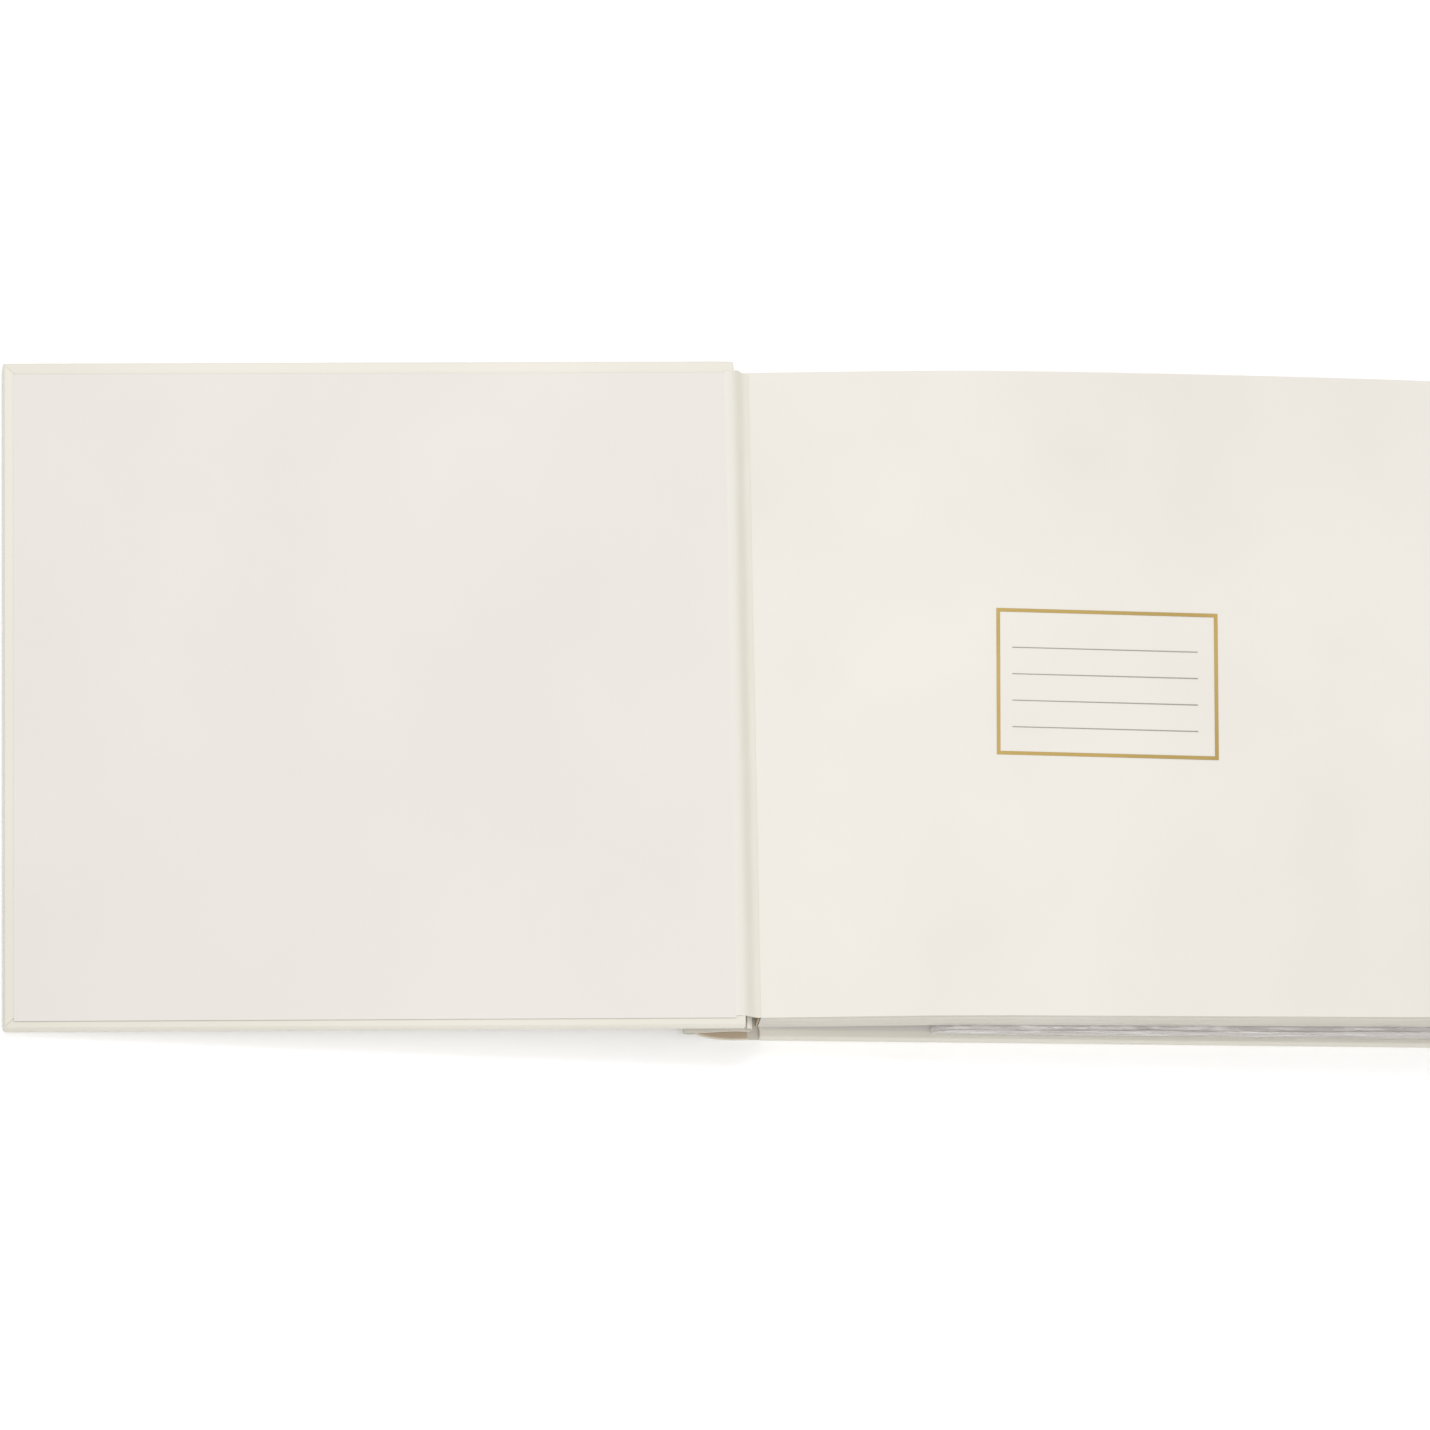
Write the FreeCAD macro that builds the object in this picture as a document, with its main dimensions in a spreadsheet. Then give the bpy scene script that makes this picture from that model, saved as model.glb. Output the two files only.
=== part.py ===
"""Hard-bound wedding guest book lying open: back cover and page block at the right, front cover at the left.

Millimetres. +Z is up and +Y runs from the tail of the book to its head. The origin is the centre of the
underside of the back cover, on the surface the book lies on. Every size is a cell of the sheet, and every
piece is an object of its own, bound to those cells.
"""

import FreeCAD, Part
import math
import os

import Sketcher

DOC = FreeCAD.newDocument("guest_book")
SHEET = DOC.addObject("Spreadsheet::Sheet", "Sheet")

SIZES = (
    # cover boards and their covering
    ("board_width", 225.0),
    ("board_height", 214.0),
    ("board_thick", 2.5),
    ("wrap_thick", 0.4),
    ("turn_in", 15.0),
    ("wrap_round", 0.35),
    ("board_clearance", 0.04),
    # endpapers pasted inside the covers
    ("paste_thick", 0.2),
    ("fore_square", 3.3),
    ("tail_square", 2.6),
    ("head_square", 3.9),
    ("paste_clearance", 0.03),
    # how the open front cover lies
    ("gutter_step", 2.15),
    ("gutter_gap", 4.6),
    ("table_gap", 0.02),
    # page block
    ("hinge_set", 0.5),
    ("block_clearance", 0.1),
    ("page_fore_square", 4.5),
    ("page_tail_square", 3.2),
    ("page_head_square", 3.2),
    ("section_count", 7.0),
    ("section_thick", 1.25),
    ("section_gap", 0.03),
    ("leaf_thick", 0.25),
    ("leaf_gap", 0.3),
    ("first_slope", 4.87),
    ("second_slope", 1.24),
    ("first_run", 45.0),
    ("bend_radius", 553.0),
    # back of the block
    ("mull_thick", 0.3),
    ("liner_thick", 0.35),
    ("spine_clearance", 0.05),
    ("mull_margin", 11.0),
    # rounded spine strip
    ("spine_radius", 16.0),
    ("spine_card_thick", 1.0),
    ("spine_lift", 0.08),
    ("spine_tip", 52.0),
    ("spine_heel", 16.0),
    ("spine_gap", 0.3),
    # flexible joints
    ("joint_thick", 0.5),
    ("joint_clearance", 0.1),
    ("rear_joint_reach", 2.6),
    ("arch_radius", 12.0),
    ("arch_centre", 6.8),
    ("arch_drop", 14.76),
    ("arch_left", 9.2),
    ("arch_right", 4.4),
    ("curl_radius", 2.0),
    ("curl_centre", 4.3),
    ("curl_drop", 1.36),
    ("fold_drop", 1.9),
    ("fold_clearance", 0.3),
    # printed panel on the first leaf
    ("label_width", 68.2),
    ("label_height", 47.2),
    ("label_line", 1.15),
    ("label_shift", 108.0),
    ("label_rise", 2.3),
    ("foil_thick", 0.1),
    ("foil_clearance", 0.02),
    ("rule_margin", 4.85),
    ("rule_width", 0.55),
    ("rule_pitch", 8.53),
    ("rule_offset", 1.78),
    # clear bag of cards under the block
    ("bag_start", 57.0),
    ("bag_width", 155.0),
    ("bag_height", 118.0),
    ("bag_inset", 1.2),
    ("bag_film", 0.3),
    ("bag_clearance", 0.4),
    ("card_width", 148.0),
    ("card_height", 105.0),
    ("card_thick", 0.75),
    ("card_gap", 0.05),
    ("card_count", 4.0),
)
VALUE = dict(SIZES)

for row, (alias, size) in enumerate(SIZES, start=1):
    SHEET.set("A%d" % row, alias)
    SHEET.set("B%d" % row, repr(size))
    SHEET.setAlias("B%d" % row, alias)
DOC.recompute()

# Lengths and levels that several pieces share, as formulas of the sheet's cells.
COVER_THICK = "(board_thick + 2 * wrap_thick)"
BLOCK_EDGE = "(board_width / 2 + hinge_set)"
BLOCK_BASE = "(board_thick + 2 * wrap_thick + paste_thick + block_clearance)"
PAGE_WIDTH = "(board_width + hinge_set - page_fore_square)"
PAGE_HEIGHT = "(board_height - page_tail_square - page_head_square)"
PAGE_DROP = "((page_head_square - page_tail_square) / 2)"
SECTIONS_BASE = "(%s + leaf_thick + section_gap)" % BLOCK_BASE
SECTIONS_TOP = "(%s + section_count * (section_thick + section_gap) - section_gap)" % SECTIONS_BASE
SECOND_LEAF_BASE = "(%s + leaf_gap)" % SECTIONS_TOP
FLYLEAF_BASE = "(%s + leaf_thick + leaf_gap)" % SECOND_LEAF_BASE
FLYLEAF_TOP = "(%s + leaf_thick)" % FLYLEAF_BASE
FRONT_INSIDE = "(%s + gutter_step)" % FLYLEAF_TOP
HINGE_LIFT = "(%s - paste_thick - %s)" % (FRONT_INSIDE, COVER_THICK)
COVER_TILT = "asin((%s - table_gap) / board_width)" % HINGE_LIFT

PIECES = []


def cell(text):
    """Turn a formula written with bare alias names into one that reads the sheet."""
    words = []
    word = ""
    for letter in text + " ":
        if letter.isalnum() or letter == "_":
            word += letter
            continue
        words.append("Sheet." + word if word in VALUE else word)
        words.append(letter)
        word = ""
    return "".join(words).strip()


def number(text):
    """Work out a formula's present value, used only to lay a sketch out before it is solved."""
    expression = cell(text)
    return float(SHEET.evalExpression(expression))


def new_body(name):
    """Start a piece's own body, labelled with the piece's name."""
    body = DOC.addObject("PartDesign::Body", name)
    body.Label = name
    PIECES.append(body)
    return body


def plane_of(body, role):
    """Return one of a body's own base planes."""
    for item in body.Origin.OriginFeatures:
        if item.Role == role:
            return item
    raise ValueError(role)


def new_sketch(body, name, role, level="0"):
    """Put a sketch on one of a body's base planes, raised to a level."""
    sketch = body.newObject("Sketcher::SketchObject", name)
    sketch.AttachmentSupport = [(plane_of(body, role), "")]
    sketch.MapMode = "FlatFace"
    sketch.setExpression("AttachmentOffset.Base.z", cell(level))
    return sketch


def drive(sketch, kind, *where, formula):
    """Add a sized constraint to a sketch and bind it to the sheet."""
    index = sketch.addConstraint(Sketcher.Constraint(kind, *where, number(formula)))
    sketch.setExpression("Constraints[%d]" % index, cell(formula))


def add_rectangle(sketch, left, low, wide, tall):
    """Draw a rectangle from its low left corner, with every size bound."""
    x_low = number(left)
    y_low = number(low)
    x_high = x_low + number(wide)
    y_high = y_low + number(tall)
    corners = ((x_low, y_low), (x_high, y_low), (x_high, y_high), (x_low, y_high))
    edges = []
    for step in range(4):
        start = FreeCAD.Vector(corners[step][0], corners[step][1], 0)
        finish = FreeCAD.Vector(corners[(step + 1) % 4][0], corners[(step + 1) % 4][1], 0)
        edges.append(sketch.addGeometry(Part.LineSegment(start, finish), False))
    for step in range(4):
        sketch.addConstraint(Sketcher.Constraint("Coincident", edges[step], 2, edges[(step + 1) % 4], 1))
    sketch.addConstraint(Sketcher.Constraint("Horizontal", edges[0]))
    sketch.addConstraint(Sketcher.Constraint("Vertical", edges[1]))
    sketch.addConstraint(Sketcher.Constraint("Horizontal", edges[2]))
    sketch.addConstraint(Sketcher.Constraint("Vertical", edges[3]))
    drive(sketch, "DistanceX", -1, 1, edges[0], 1, formula=left)
    drive(sketch, "DistanceY", -1, 1, edges[0], 1, formula=low)
    drive(sketch, "DistanceX", edges[0], 1, edges[0], 2, formula=wide)
    drive(sketch, "DistanceY", edges[1], 1, edges[1], 2, formula=tall)


def add_polygon(sketch, corners):
    """Draw a closed polygon whose corners are pairs of formulas."""
    points = [FreeCAD.Vector(number(across), number(up), 0) for across, up in corners]
    edges = []
    for step in range(len(points)):
        line = Part.LineSegment(points[step], points[(step + 1) % len(points)])
        edges.append(sketch.addGeometry(line, False))
    for step in range(len(edges)):
        following = edges[(step + 1) % len(edges)]
        sketch.addConstraint(Sketcher.Constraint("Coincident", edges[step], 2, following, 1))
    for edge, (across, up) in zip(edges, corners):
        drive(sketch, "DistanceX", -1, 1, edge, 1, formula=across)
        drive(sketch, "DistanceY", -1, 1, edge, 1, formula=up)


def add_arc_strip(sketch, middle, radii, ends, below):
    """Draw a strip bent to one radius: two concentric arcs closed by straight ends.

    middle is the pair of formulas of the centre, radii the outer and inner radius, ends how far left and
    right of the centre the outer arc reaches, and below is True where the strip hangs under its centre.
    """
    centre = FreeCAD.Vector(number(middle[0]), number(middle[1]), 0)
    outer = number(radii[0])
    lean = [math.asin(number(reach) / outer) for reach in ends]
    upright = 3.0 * math.pi / 2.0 if below else math.pi / 2.0
    first = upright - lean[0] if below else upright - lean[1]
    last = upright + lean[1] if below else upright + lean[0]
    arcs = []
    for radius in radii:
        circle = Part.Circle(centre, FreeCAD.Vector(0, 0, 1), number(radius))
        arcs.append(sketch.addGeometry(Part.ArcOfCircle(circle, first, last), False))
    lines = []
    for angle in (first, last):
        way = FreeCAD.Vector(math.cos(angle), math.sin(angle), 0)
        line = Part.LineSegment(centre + way * outer, centre + way * number(radii[1]))
        lines.append(sketch.addGeometry(line, False))
    for end, line in zip((1, 2), lines):
        sketch.addConstraint(Sketcher.Constraint("Coincident", arcs[0], end, line, 1))
        sketch.addConstraint(Sketcher.Constraint("Coincident", arcs[1], end, line, 2))
        sketch.addConstraint(Sketcher.Constraint("PointOnObject", arcs[0], 3, line))
    sketch.addConstraint(Sketcher.Constraint("Coincident", arcs[0], 3, arcs[1], 3))
    drive(sketch, "DistanceX", -1, 1, arcs[0], 3, formula=middle[0])
    drive(sketch, "DistanceY", -1, 1, arcs[0], 3, formula=middle[1])
    for arc, radius in zip(arcs, radii):
        drive(sketch, "Radius", arc, formula=radius)
    left_end, right_end = (1, 2) if below else (2, 1)
    drive(sketch, "DistanceX", arcs[0], 3, arcs[0], left_end, formula="-(%s)" % ends[0])
    drive(sketch, "DistanceX", arcs[0], 3, arcs[0], right_end, formula=ends[1])


def add_sheet_profile(sketch, base, thick):
    """Draw the edge of a sheet or section that climbs from the back of the block and levels off."""
    steep = math.radians(VALUE["first_slope"])
    gentle = math.radians(VALUE["second_slope"])
    radius = VALUE["bend_radius"]
    run = VALUE["first_run"]
    start = FreeCAD.Vector(number("-" + BLOCK_EDGE), number(base), 0)
    bend = start + FreeCAD.Vector(run, run * math.tan(steep), 0)
    centre = bend + FreeCAD.Vector(radius * math.sin(steep), -radius * math.cos(steep), 0)
    level = centre + FreeCAD.Vector(-radius * math.sin(gentle), radius * math.cos(gentle), 0)
    rest = start.x + number(PAGE_WIDTH) - level.x
    finish = level + FreeCAD.Vector(rest, rest * math.tan(gentle), 0)
    up = FreeCAD.Vector(0, number(thick), 0)
    curves = []
    for shift in (FreeCAD.Vector(0, 0, 0), up):
        curves.append(sketch.addGeometry(Part.LineSegment(start + shift, bend + shift), False))
        circle = Part.Circle(centre + shift, FreeCAD.Vector(0, 0, 1), radius)
        arc = Part.ArcOfCircle(circle, math.pi / 2 + gentle, math.pi / 2 + steep)
        curves.append(sketch.addGeometry(arc, False))
        curves.append(sketch.addGeometry(Part.LineSegment(level + shift, finish + shift), False))
    back = sketch.addGeometry(Part.LineSegment(start, start + up), False)
    fore = sketch.addGeometry(Part.LineSegment(finish, finish + up), False)
    for first, arc, second in (curves[:3], curves[3:]):
        sketch.addConstraint(Sketcher.Constraint("Tangent", first, 2, arc, 2))
        sketch.addConstraint(Sketcher.Constraint("Tangent", arc, 1, second, 1))
        drive(sketch, "Angle", first, formula="first_slope")
        drive(sketch, "Angle", second, formula="second_slope")
        drive(sketch, "Radius", arc, formula="bend_radius")
    for line, low, high, end in ((back, curves[0], curves[3], 1), (fore, curves[2], curves[5], 2)):
        sketch.addConstraint(Sketcher.Constraint("Coincident", line, 1, low, end))
        sketch.addConstraint(Sketcher.Constraint("Coincident", line, 2, high, end))
        sketch.addConstraint(Sketcher.Constraint("Vertical", line))
    drive(sketch, "DistanceX", -1, 1, curves[0], 1, formula="-" + BLOCK_EDGE)
    drive(sketch, "DistanceY", -1, 1, curves[0], 1, formula=base)
    drive(sketch, "DistanceX", curves[0], 1, curves[0], 2, formula="first_run")
    drive(sketch, "DistanceX", curves[3], 1, curves[3], 2, formula="first_run")
    drive(sketch, "DistanceX", curves[0], 1, curves[2], 2, formula=PAGE_WIDTH)
    drive(sketch, "DistanceY", back, 1, back, 2, formula=thick)


def pad(body, sketch, length, both_ways=False):
    """Raise a sketch into a solid, to one side or evenly both ways."""
    feature = body.newObject("PartDesign::Pad", body.Name + "_" + sketch.Name + "_pad")
    feature.Profile = sketch
    feature.Midplane = both_ways
    feature.setExpression("Length", cell(length))
    sketch.Visibility = False
    body.Tip = feature
    return feature


def pocket(body, sketch, length, both_ways=False):
    """Cut a sketch out of a body, downwards or evenly both ways."""
    feature = body.newObject("PartDesign::Pocket", body.Name + "_" + sketch.Name + "_pocket")
    feature.Profile = sketch
    feature.Midplane = both_ways
    feature.setExpression("Length", cell(length))
    sketch.Visibility = False
    body.Tip = feature
    return feature


def place(body, across="0", along="0", up="0", lean=None):
    """Move a body to its place, leaning it about the book's length where that is asked for."""
    body.Placement = FreeCAD.Placement(
        FreeCAD.Vector(0, 0, 0), FreeCAD.Rotation(FreeCAD.Vector(0, 1, 0), number(lean) if lean else 0.0))
    body.setExpression("Placement.Base.x", cell(across))
    body.setExpression("Placement.Base.y", cell(along))
    body.setExpression("Placement.Base.z", cell(up))
    if lean:
        body.setExpression("Placement.Rotation.Angle", cell(lean))


def strip_body(name, middle, radii, ends, below, length):
    """Make a strip bent to one radius that runs along the book."""
    body = new_body(name)
    sketch = new_sketch(body, name + "_edge", "XZ_Plane")
    add_arc_strip(sketch, middle, radii, ends, below)
    pad(body, sketch, length, both_ways=True)
    return body


def slab_body(name, left, low, wide, tall, base, thick):
    """Make a flat rectangular piece from its low left corner, its underside and its thickness."""
    body = new_body(name)
    sketch = new_sketch(body, name + "_outline", "XY_Plane", base)
    add_rectangle(sketch, left, low, wide, tall)
    pad(body, sketch, thick)
    return body


def sheet_body(name, base, thick):
    """Make a leaf or a folded section of the page block."""
    body = new_body(name)
    sketch = new_sketch(body, name + "_edge", "XZ_Plane")
    add_sheet_profile(sketch, base, thick)
    pad(body, sketch, PAGE_HEIGHT, both_ways=True)
    place(body, along="-" + PAGE_DROP)
    return body


def place_front(body):
    """Lay a piece of the front cover open, leaning from the gutter down to the table."""
    place(
        body,
        across="-%s - gutter_gap - board_width / 2 * cos(%s)" % (BLOCK_EDGE, COVER_TILT),
        up="(%s + table_gap) / 2" % HINGE_LIFT,
        lean="-" + COVER_TILT)


def build_cover(side, hinge):
    """Build one cover: its board, the covering turned in over three edges, and the pasted endpaper.

    side is the first word of the pieces' names, and hinge is 1 where the hinge edge is at the right.
    """
    board = slab_body(
        side + "_board",
        "-board_width / 2 + wrap_thick + board_clearance",
        "-board_height / 2 + wrap_thick + board_clearance",
        "board_width - 2 * wrap_thick - 2 * board_clearance",
        "board_height - 2 * wrap_thick - 2 * board_clearance",
        "wrap_thick + board_clearance",
        "board_thick - 2 * board_clearance")

    wrap = new_body(side + "_cover_wrap")
    outline = new_sketch(wrap, side + "_wrap_outline", "XY_Plane")
    add_rectangle(outline, "-board_width / 2", "-board_height / 2", "board_width", "board_height")
    block = pad(wrap, outline, COVER_THICK)
    DOC.recompute()
    rounding = wrap.newObject("PartDesign::Fillet", side + "_wrap_rounding")
    rounding.Base = (block, ["Edge%d" % index for index in range(1, len(block.Shape.Edges) + 1)])
    rounding.setExpression("Radius", cell("wrap_round"))
    wrap.Tip = rounding
    hollow = wrap.newObject("PartDesign::SubtractiveBox", side + "_wrap_hollow")
    hollow.setExpression("Length", cell("board_width - 2 * wrap_thick"))
    hollow.setExpression("Width", cell("board_height - 2 * wrap_thick"))
    hollow.setExpression("Height", cell("board_thick"))
    hollow.setExpression("Placement.Base.x", cell("-board_width / 2 + wrap_thick"))
    hollow.setExpression("Placement.Base.y", cell("-board_height / 2 + wrap_thick"))
    hollow.setExpression("Placement.Base.z", cell("wrap_thick"))
    wrap.Tip = hollow
    window = wrap.newObject("PartDesign::SubtractiveBox", side + "_wrap_window")
    window.setExpression("Length", cell("board_width - turn_in"))
    window.setExpression("Width", cell("board_height - 2 * turn_in"))
    window.setExpression("Height", cell("wrap_thick * 2"))
    window_left = "-board_width / 2 + turn_in" if hinge > 0 else "-board_width / 2"
    window.setExpression("Placement.Base.x", cell(window_left))
    window.setExpression("Placement.Base.y", cell("-board_height / 2 + turn_in"))
    window.setExpression("Placement.Base.z", cell("board_thick + wrap_thick"))
    wrap.Tip = window

    paste = new_body(side + "_pastedown")
    sheet = new_sketch(paste, side + "_paste_sheet", "XY_Plane", COVER_THICK)
    sheet_left = "-board_width / 2 + fore_square" if hinge > 0 else "-board_width / 2"
    add_rectangle(
        sheet, sheet_left, "-board_height / 2 + tail_square",
        "board_width - fore_square", "board_height - tail_square - head_square")
    pad(paste, sheet, "paste_thick")
    sunk = new_sketch(paste, side + "_paste_sunk", "XY_Plane", "board_thick + wrap_thick")
    sunk_left = "-board_width / 2 + turn_in + paste_clearance" if hinge > 0 else "-board_width / 2"
    add_rectangle(
        sunk, sunk_left, "-board_height / 2 + turn_in + paste_clearance",
        "board_width - turn_in - paste_clearance", "board_height - 2 * turn_in - 2 * paste_clearance")
    pad(paste, sunk, "wrap_thick + paste_thick / 2")
    return board, wrap, paste


# The back cover lies flat on the table and the front cover leans down from the gutter.
build_cover("back", -1)
for piece in build_cover("front", 1):
    place_front(piece)

# The page block: a rear free leaf, the sewn sections, and two loose leaves on top.
sheet_body("rear_flyleaf", BLOCK_BASE, "leaf_thick")
for order in range(int(VALUE["section_count"])):
    sheet_body(
        "text_section_%d" % (order + 1),
        SECTIONS_BASE + " + %d * (section_thick + section_gap)" % order,
        "section_thick")
sheet_body("second_leaf", SECOND_LEAF_BASE, "leaf_thick")
sheet_body("flyleaf", FLYLEAF_BASE, "leaf_thick")

# Gauze and kraft lining glued to the back of the sections.
BACK_OF_BLOCK = "(%s - %s)" % (SECTIONS_TOP, SECTIONS_BASE)
mull = slab_body(
    "spine_mull", "-%s - spine_clearance - mull_thick" % BLOCK_EDGE, "-%s / 2 + mull_margin" % PAGE_HEIGHT,
    "mull_thick", PAGE_HEIGHT + " - 2 * mull_margin", SECTIONS_BASE, BACK_OF_BLOCK)
place(mull, along="-" + PAGE_DROP)
liner = slab_body(
    "spine_liner", "-%s - 2 * spine_clearance - mull_thick - liner_thick" % BLOCK_EDGE,
    "-%s / 2" % PAGE_HEIGHT, "liner_thick", PAGE_HEIGHT, SECTIONS_BASE, BACK_OF_BLOCK)
place(liner, along="-" + PAGE_DROP)

# The spine strip is a rounded card in its covering, lying open on the table beside the back cover.
SPINE_MIDDLE = (
    "-%s - rear_joint_reach - spine_gap - spine_radius * sin(spine_heel)" % BLOCK_EDGE,
    "spine_radius + spine_lift")
SPINE_CARD = "spine_radius - wrap_thick - spine_clearance"
strip_body(
    "spine_wrap", SPINE_MIDDLE, ("spine_radius", "spine_radius - wrap_thick"),
    ("spine_radius * sin(spine_tip)", "spine_radius * sin(spine_heel)"), True, "board_height")
strip_body(
    "spine_board", SPINE_MIDDLE, (SPINE_CARD, SPINE_CARD + " - spine_card_thick"),
    ("(%s) * sin(spine_tip - 1)" % SPINE_CARD, "(%s) * sin(spine_heel - 1)" % SPINE_CARD),
    True, "board_height - 2 * wrap_thick")

# The rear joint is the strip of covering between the back cover and the spine strip.
slab_body(
    "rear_joint_cloth", "-%s - rear_joint_reach" % BLOCK_EDGE, "-board_height / 2",
    "rear_joint_reach + hinge_set - joint_clearance", "board_height", "table_gap", "joint_thick")

# The front joint is folded back on itself under the open front cover.
front_joint = strip_body(
    "front_joint_cloth", ("-%s - arch_centre" % BLOCK_EDGE, "%s - arch_drop" % HINGE_LIFT),
    ("arch_radius", "arch_radius - joint_thick"), ("arch_left", "arch_right"), False, "board_height")
curl = new_sketch(front_joint, "front_joint_curl", "XZ_Plane")
CURL_ACROSS = "-%s - curl_centre" % BLOCK_EDGE
CURL_UP = "%s - curl_drop" % HINGE_LIFT
CURL_STEPS = (-90, -60, -30, 0, 30, 60, 90)
curl_corners = []
for radius, steps in (("curl_radius", CURL_STEPS), ("(curl_radius - joint_thick)", CURL_STEPS[::-1])):
    for turn in steps:
        curl_corners.append((
            "%s + %s * cos(%d)" % (CURL_ACROSS, radius, turn),
            "%s + %s * sin(%d)" % (CURL_UP, radius, turn)))
add_polygon(curl, curl_corners)
pad(front_joint, curl, "board_height", both_ways=True)

# The endpaper fold dips from the inside of the front cover into the gutter.
fold = new_body("endpaper_fold")
fold_edge = new_sketch(fold, "endpaper_fold_edge", "XZ_Plane")
FOLD_LEFT = "-%s - gutter_gap + fold_clearance" % BLOCK_EDGE
FOLD_RIGHT = "-%s - fold_clearance" % BLOCK_EDGE
add_polygon(fold_edge, (
    (FOLD_LEFT, FRONT_INSIDE + " - leaf_thick"),
    (FOLD_RIGHT, FRONT_INSIDE + " - leaf_thick - fold_drop"),
    (FOLD_RIGHT, FRONT_INSIDE + " - fold_drop"),
    (FOLD_LEFT, FRONT_INSIDE)))
pad(fold, fold_edge, PAGE_HEIGHT, both_ways=True)
place(fold, along="-" + PAGE_DROP)

# The panel on the first leaf: a foil frame and four thin rules, lying on the gentle part of the leaf.
BEND_RISE = (
    "(first_run * tan(first_slope) - bend_radius * cos(first_slope) + sqrt(bend_radius ^ 2"
    " - (bend_radius * sin(first_slope) - ({0} - first_run)) ^ 2))")
FLAT_RISE = (
    "(first_run * tan(first_slope) + bend_radius * (cos(second_slope) - cos(first_slope))"
    " + ({0} - first_run - bend_radius * (sin(first_slope) - sin(second_slope))) * tan(second_slope))")
LABEL_LEVEL = FLYLEAF_TOP + " + foil_clearance + " + FLAT_RISE.format("label_shift")


def place_label(body):
    """Lay a printed piece on the first leaf."""
    place(
        body, across="label_shift - " + BLOCK_EDGE, along="label_rise", up=LABEL_LEVEL,
        lean="-second_slope")


frame = slab_body(
    "label_frame", "-label_width / 2", "-label_height / 2", "label_width", "label_height", "0", "foil_thick")
opening = new_sketch(frame, "label_opening", "XY_Plane", "foil_thick")
add_rectangle(
    opening, "-label_width / 2 + label_line", "-label_height / 2 + label_line",
    "label_width - 2 * label_line", "label_height - 2 * label_line")
pocket(frame, opening, "foil_thick * 2")
place_label(frame)
for order in range(4):
    rule = slab_body(
        "label_rule_%d" % (order + 1), "-label_width / 2 + rule_margin",
        "rule_pitch * (1.5 - %d) - rule_width / 2 - rule_offset" % order,
        "label_width - 2 * rule_margin", "rule_width", "0", "foil_thick")
    place_label(rule)

# A clear film bag of cards lies between the back cover and the block, near the tail.
bag = new_body("bag_film")
BAG_LEFT = "-%s + bag_start" % BLOCK_EDGE
BAG_LOW = "(%s + bag_clearance)" % BLOCK_BASE
BAG_TOP_LEFT = "(%s - bag_clearance + %s)" % (BLOCK_BASE, BEND_RISE.format("bag_start"))
BAG_TOP_RIGHT = "(%s - bag_clearance + %s)" % (BLOCK_BASE, FLAT_RISE.format("(bag_start + bag_width)"))
bag_outside = new_sketch(bag, "bag_outside", "XZ_Plane")
add_polygon(bag_outside, (
    (BAG_LEFT, BAG_LOW),
    (BAG_LEFT + " + bag_width", BAG_LOW),
    (BAG_LEFT + " + bag_width", BAG_TOP_RIGHT),
    (BAG_LEFT, BAG_TOP_LEFT)))
pad(bag, bag_outside, "bag_height", both_ways=True)
bag_inside = new_sketch(bag, "bag_inside", "XZ_Plane")
add_polygon(bag_inside, (
    (BAG_LEFT + " + bag_film", BAG_LOW + " + bag_film"),
    (BAG_LEFT + " + bag_width - bag_film", BAG_LOW + " + bag_film"),
    (BAG_LEFT + " + bag_width - bag_film", BAG_TOP_RIGHT + " - bag_film"),
    (BAG_LEFT + " + bag_film", BAG_TOP_LEFT + " - bag_film")))
pocket(bag, bag_inside, "bag_height - 2 * bag_film", both_ways=True)
BAG_ALONG = "-board_height / 2 + bag_inset + bag_height / 2"
place(bag, along=BAG_ALONG)
for order in range(int(VALUE["card_count"])):
    card = slab_body(
        "bag_card_%d" % (order + 1), BAG_LEFT + " + (bag_width - card_width) / 2", "-card_height / 2",
        "card_width", "card_height",
        BAG_LOW + " + bag_film + card_gap + %d * (card_thick + card_gap)" % order, "card_thick")
    place(card, along=BAG_ALONG)

DOC.recompute()

for item in DOC.Objects:
    for fault in ("Invalid", "Error"):
        if fault in item.State:
            raise RuntimeError("%s is %s" % (item.Name, fault))
for piece in PIECES:
    if piece.Shape.isNull() or not piece.Shape.isValid() or len(piece.Shape.Solids) != 1:
        raise RuntimeError("%s is not one valid solid" % piece.Label)

os.makedirs("parts", exist_ok=True)
for piece in PIECES:
    piece.Shape.exportStep("parts/%s.step" % piece.Label)
    print("%-20s %10.1f mm3" % (piece.Label, piece.Shape.Volume))
print(len(PIECES), "pieces")
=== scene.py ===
"""Wedding guest book lying open at its label page: covers, leaves, a gold label and a bag of cards.

Shapes are worked out in millimetres and scaled to metres when a piece is finished. +X runs from the spine
to the fore-edge of the pages, +Y from the tail of the book to its head, and +Z is up.
"""
import logging
import math
import random
from dataclasses import dataclass
from enum import Enum
from typing import Callable, Sequence

import bmesh
import bpy
from mathutils import Matrix, Vector, noise


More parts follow.
